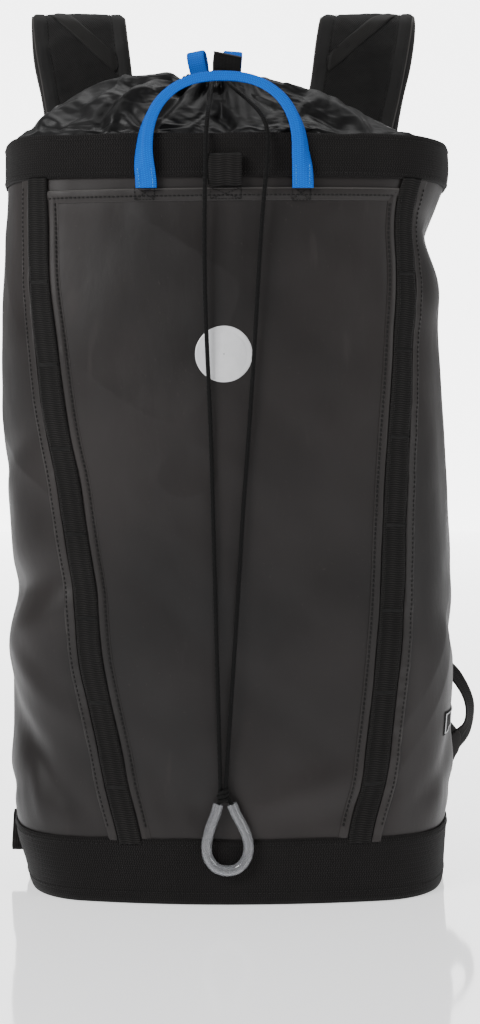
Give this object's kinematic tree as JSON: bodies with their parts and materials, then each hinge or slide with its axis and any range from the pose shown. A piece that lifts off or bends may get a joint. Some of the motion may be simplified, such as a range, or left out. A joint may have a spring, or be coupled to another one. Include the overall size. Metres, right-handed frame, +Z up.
{
  "type": "rope storage bag",
  "caption": "Top-loading coated-fabric rope bag with a gathered drawcord collar, grab handle, webbing chains and padded shoulder straps.",
  "frame": {"origin": "centre of the flat underside of the bag", "axes": "+Z up, -Y out of the front panel, +X to the right seen from the front"},
  "size_m": [0.4584, 0.3398, 0.845],
  "materials": {
    "coated_fabric": "semi-matte coated polyester, black",
    "webbing_black": "woven nylon webbing, black",
    "webbing_blue": "woven nylon webbing, bright blue",
    "collar_nylon": "thin coated nylon, slightly shiny black",
    "cord_black": "braided cord, black",
    "foam": "foam padding under fabric",
    "board": "stiffener board",
    "clear_tube": "clear flexible tube",
    "buckle": "moulded acetal",
    "print_silver": "plain printed patch"
  },
  "bodies": {
    "bag": {"back_pad": "foam", "back_panel": "coated_fabric", "base_band": "webbing_black", "base_board": "board", "base_panel": "coated_fabric", "collar": "collar_nylon", "cord_exit": "buckle", "drawcord_left": "cord_black", "drawcord_right": "cord_black", "front_emblem": "print_silver", "front_hem": "coated_fabric", "front_panel": "coated_fabric", "front_yoke": "coated_fabric", "left_anchor_tab": "webbing_black", "left_bar_tacks": "webbing_black", "left_daisy_chain": "webbing_black", "left_handle_tack": "webbing_black", "left_inner_welt": "coated_fabric", "left_outer_welt": "coated_fabric", "left_side_panel": "coated_fabric", "left_side_tab": "webbing_black", "left_strap_base": "foam", "mouth_hem": "collar_nylon", "mouth_tab": "webbing_black", "pull_knot": "cord_black", "right_anchor_tab": "webbing_black", "right_bar_tacks": "webbing_black", "right_daisy_chain": "webbing_black", "right_handle_tack": "webbing_black", "right_inner_welt": "coated_fabric", "right_outer_welt": "coated_fabric", "right_side_panel": "coated_fabric", "right_strap_base": "foam", "rim_band": "webbing_black", "side_label": "print_silver"},
    "handle": {"front_handle": "webbing_blue"},
    "gear_loop": {"gear_loop": "webbing_black"},
    "pull": {"pull_tube": "clear_tube", "pull_cord": "cord_black"},
    "left_tab": {"left_pull_tab": "webbing_blue"},
    "right_tab": {"right_pull_tab": "webbing_blue"},
    "left_strap": {"left_strap_pad": "foam", "left_strap_webbing": "webbing_black"},
    "right_strap": {"right_strap_pad": "foam", "right_strap_webbing": "webbing_black"},
    "left_adjuster": {"left_ladder_lock": "buckle", "left_lower_webbing": "webbing_black"},
    "right_adjuster": {"right_ladder_lock": "buckle", "right_lower_webbing": "webbing_black"}
  },
  "joints": [
    {"name": "handle_swing", "type": "hinge", "parent": "bag", "child": "handle", "pos_m": [-0.0032, -0.1265, 0.636], "axis": [1, 0, 0], "range_deg": [0, 150]},
    {"name": "gear_loop_flip", "type": "hinge", "parent": "bag", "child": "gear_loop", "pos_m": [-0.002, -0.1325, 0.635], "axis": [1, 0, 0], "range_deg": [0, 110]},
    {"name": "pull_swing", "type": "hinge", "parent": "bag", "child": "pull", "pos_m": [-0.0045, -0.1285, 0.098], "axis": [-1, 0, 0], "range_deg": [0, 80]},
    {"name": "left_tab_flip", "type": "hinge", "parent": "bag", "child": "left_tab", "pos_m": [-0.027, -0.0255, 0.7512], "axis": [-1, 0, 0], "range_deg": [0, 70]},
    {"name": "right_tab_flip", "type": "hinge", "parent": "bag", "child": "right_tab", "pos_m": [0.0025, -0.0255, 0.7512], "axis": [-1, 0, 0], "range_deg": [0, 70]},
    {"name": "left_strap_swing", "type": "hinge", "parent": "bag", "child": "left_strap", "pos_m": [-0.148, 0.131, 0.686], "axis": [1, 0, 0], "range_deg": [0, 10]},
    {"name": "right_strap_swing", "type": "hinge", "parent": "bag", "child": "right_strap", "pos_m": [0.13, 0.131, 0.686], "axis": [1, 0, 0], "range_deg": [0, 10]},
    {"name": "left_adjuster_swing", "type": "hinge", "parent": "left_strap", "child": "left_adjuster", "pos_m": [-0.148, 0.193, 0.31725], "axis": [1, 0, 0], "range_deg": [0, 12]},
    {"name": "right_adjuster_swing", "type": "hinge", "parent": "right_strap", "child": "right_adjuster", "pos_m": [0.13, 0.193, 0.31725], "axis": [1, 0, 0], "range_deg": [0, 12]}
  ]
}
